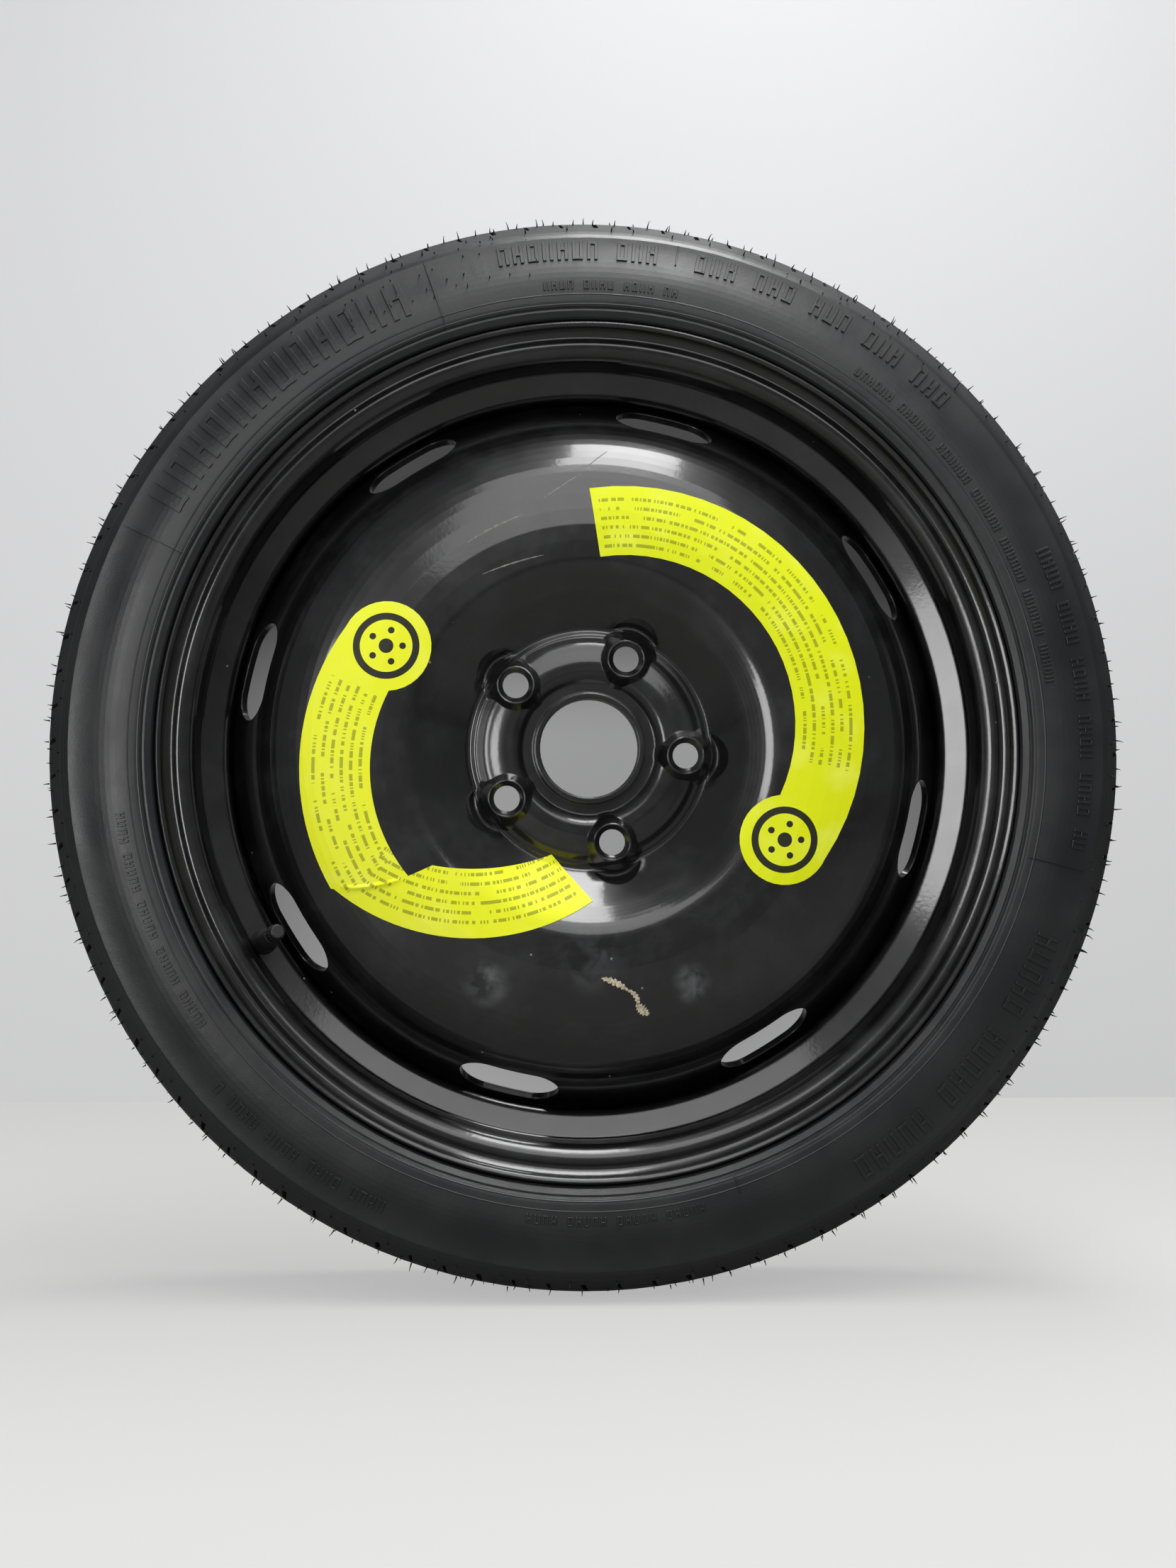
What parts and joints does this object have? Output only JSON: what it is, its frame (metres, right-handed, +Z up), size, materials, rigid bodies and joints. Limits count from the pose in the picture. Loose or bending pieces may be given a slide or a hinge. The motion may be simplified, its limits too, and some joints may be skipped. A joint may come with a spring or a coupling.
{
  "type": "spare wheel",
  "caption": "Narrow temporary-use spare wheel: black pressed steel disc in a rolled steel rim, tyre, snap-in valve and curved yellow labels.",
  "frame": {"origin": "centre of the hub bore on the face of the disc that meets the hub", "axes": "+Y along the axle from the disc towards the vehicle's hub, the outer face of the wheel looks to -Y, +Z up, +X to the right as seen from the outer face"},
  "size_m": [0.63, 0.124, 0.63],
  "materials": {
    "tyre": "moulded rubber with a soft grey sheen",
    "rim_barrel": "black gloss paint on rolled steel",
    "wheel_disc": "black gloss paint on pressed steel",
    "weld_beads": "black paint over rippled weld metal",
    "valve_body": "smooth black moulded rubber",
    "valve_stem": "turned brass",
    "core_barrel": "turned brass",
    "core_gasket": "plain seal ring",
    "core_pin": "drawn wire",
    "core_cup": "moulded seal in a small metal cup",
    "core_spring": "drawn spring wire",
    "valve_cap": "moulded black plastic",
    "cap_seal": "plain seal disc",
    "label_left": "bright yellow coated foil with dark print",
    "label_right": "bright yellow coated foil with dark print"
  },
  "bodies": {
    "wheel": {"tyre": "tyre", "rim_barrel": "rim_barrel", "wheel_disc": "wheel_disc", "weld_beads": "weld_beads", "valve_body": "valve_body", "valve_stem": "valve_stem", "core_barrel": "core_barrel", "core_gasket": "core_gasket", "core_spring": "core_spring", "label_left": "label_left", "label_right": "label_right"},
    "cap": {"valve_cap": "valve_cap", "cap_seal": "cap_seal"},
    "core": {"core_pin": "core_pin", "core_cup": "core_cup"}
  },
  "joints": [
    {"name": "cap_lift", "type": "slide", "parent": "wheel", "child": "cap", "axis": [0.3234, -0.9267, 0.1912], "range_m": [0, 0.03]},
    {"name": "core_press", "type": "slide", "parent": "wheel", "child": "core", "axis": [-0.3234, 0.9267, -0.1912], "range_m": [0, 0.0014], "stiffness_N_per_m": 600, "springref_m": -0.003, "deforming": ["core_spring"]}
  ]
}
